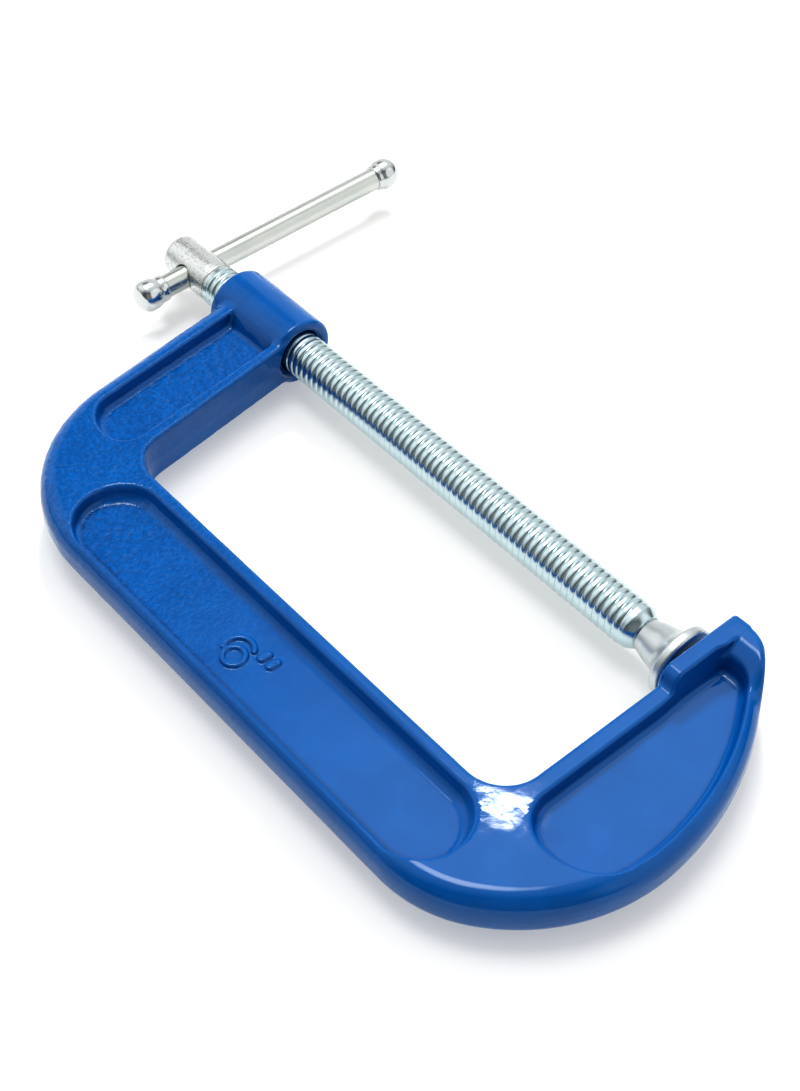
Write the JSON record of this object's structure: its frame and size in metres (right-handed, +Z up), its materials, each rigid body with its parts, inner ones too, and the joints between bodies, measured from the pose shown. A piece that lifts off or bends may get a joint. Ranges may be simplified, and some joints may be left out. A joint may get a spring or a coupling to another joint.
{
  "type": "c clamp",
  "caption": "Cast C clamp with an I-section frame, flat anvil, threaded boss, long screw with a swivel pad, and a sliding cross handle.",
  "frame": {"origin": "centre of the anvil face, on the screw's axis", "axes": "+X is the way the screw advances, from the threaded boss to the anvil; +Y runs from the spine across the throat to the open side; +Z is up and square to the plane of the C, with the clamp lying flat"},
  "size_m": [0.2845, 0.1964, 0.025],
  "materials": {
    "blue_enamel": "glossy enamel over a slightly rough casting",
    "zinc_steel": "bright zinc plating",
    "zinc_bar": "bright zinc plating with fine drawn lines"
  },
  "bodies": {
    "frame": {"frame": "blue_enamel"},
    "stud": {"ball_stud": "zinc_steel"},
    "screw": {"screw": "zinc_steel"},
    "pad": {"swivel_pad": "zinc_steel"},
    "handle": {"handle_bar": "zinc_bar", "handle_cap_near": "zinc_bar", "handle_cap_far": "zinc_bar"}
  },
  "joints": [
    {"name": "screw_travel", "type": "slide", "parent": "frame", "child": "stud", "axis": [1, 0, 0], "range_m": [-0.1503, 0]},
    {"name": "screw_turn", "type": "hinge", "parent": "stud", "child": "screw", "pos_m": [-0.0174, 0, 0], "axis": [1, 0, 0], "range_deg": [-21300, 0]},
    {"name": "pad_tilt", "type": "hinge", "parent": "stud", "child": "pad", "pos_m": [-0.0094, 0, 0], "axis": [0, 0, 1], "range_deg": [-10, 10]},
    {"name": "handle_slide", "type": "slide", "parent": "screw", "child": "handle", "axis": [0, 1, 0], "range_m": [-0.07, 0.0073]}
  ],
  "couplings": [
    {"joint": "screw_travel", "follows": "screw_turn", "m_per_rad": 0.00040425}
  ]
}
